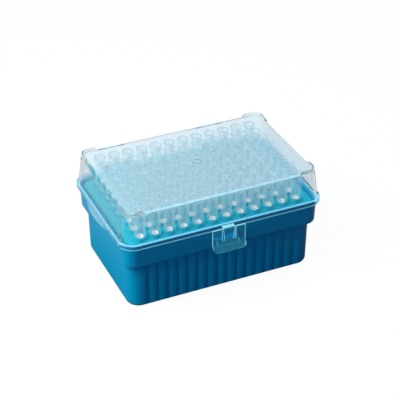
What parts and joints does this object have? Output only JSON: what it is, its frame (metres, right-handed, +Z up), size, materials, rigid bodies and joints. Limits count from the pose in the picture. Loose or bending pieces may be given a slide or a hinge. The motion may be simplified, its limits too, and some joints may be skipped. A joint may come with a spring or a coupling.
{
  "type": "box of pipette tips",
  "caption": "Box with a ribbed tub, a socket tray holding pipette tips upright and a clear hinged lid with a front strap latch.",
  "frame": {"origin": "middle of the tub's flat underside", "axes": "+X along the long side, +Y towards the hinge, -Y towards the latch, +Z up"},
  "size_m": [0.1318, 0.0968, 0.0668],
  "materials": {
    "tub_blue": "opaque blue polypropylene, moulded, satin gloss",
    "tray_cyan": "bright cyan polypropylene, moulded",
    "lid_clear": "clear, slightly milky polypropylene, moulded",
    "tip_natural": "natural translucent polypropylene"
  },
  "bodies": {
    "box": {"tub": "tub_blue", "tray": "tray_cyan", "tips_column_01": "tip_natural", "tips_column_02": "tip_natural", "tips_column_03": "tip_natural", "tips_column_04": "tip_natural", "tips_column_05": "tip_natural", "tips_column_06": "tip_natural", "tips_column_07": "tip_natural", "tips_column_08": "tip_natural", "tips_column_09": "tip_natural", "tips_column_10": "tip_natural", "tips_column_11": "tip_natural", "tips_column_12": "tip_natural"},
    "lid": {"lid": "lid_clear"},
    "latch": {"latch": "lid_clear"}
  },
  "joints": [
    {"name": "lid_hinge", "type": "hinge", "parent": "box", "child": "lid", "pos_m": [0, 0.04594, 0.0444], "axis": [-1, 0, 0], "range_deg": [0, 110]},
    {"name": "latch_strap", "type": "hinge", "parent": "lid", "child": "latch", "pos_m": [0, -0.04329, 0.0465], "axis": [-1, 0, 0], "range_deg": [0, 35], "stiffness_Nm_per_rad": 0.03}
  ]
}
